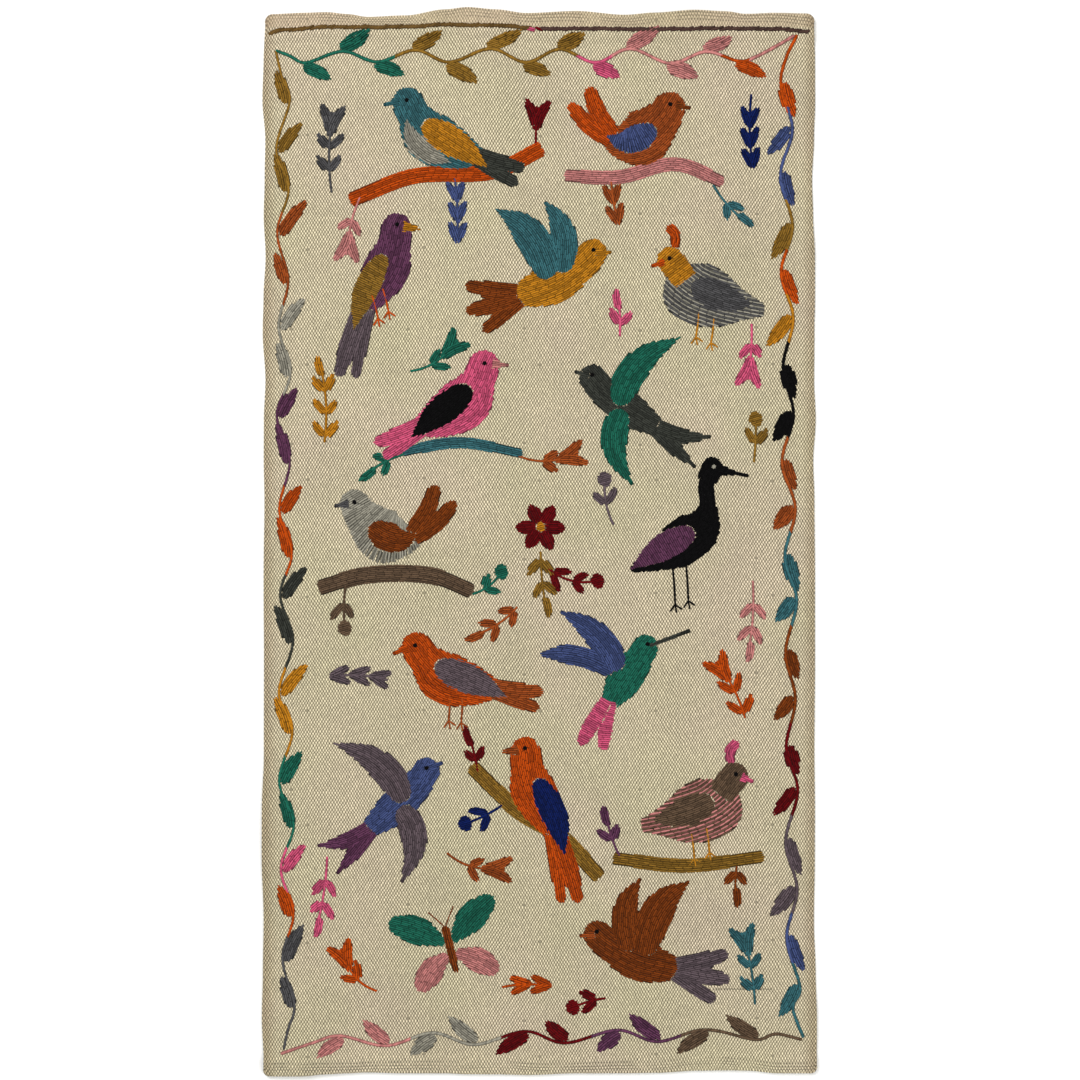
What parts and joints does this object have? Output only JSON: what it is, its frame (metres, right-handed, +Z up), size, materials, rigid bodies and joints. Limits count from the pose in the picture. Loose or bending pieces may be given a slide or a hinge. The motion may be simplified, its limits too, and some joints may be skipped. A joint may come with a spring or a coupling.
{
  "type": "embroidered flatweave rug",
  "caption": "Flat wool flatweave rug with turned hems, stitched yarn lines and an all-over embroidered face, lying face up on the floor.",
  "frame": {"origin": "on the underside, at the middle of the rug's box", "axes": "+X across the width, +Y along the length towards the deep-hemmed end, +Z up out of the embroidered face"},
  "size_m": [0.7646, 1.4718, 0.0108],
  "materials": {
    "cloth": "cream plain-weave wool",
    "olive_yarn": "matte wool yarn",
    "plum_yarn": "matte wool yarn"
  },
  "bodies": {
    "root": {"rug": "cloth", "hem_line_olive": "olive_yarn", "hem_line_plum": "plum_yarn"}
  },
  "joints": []
}
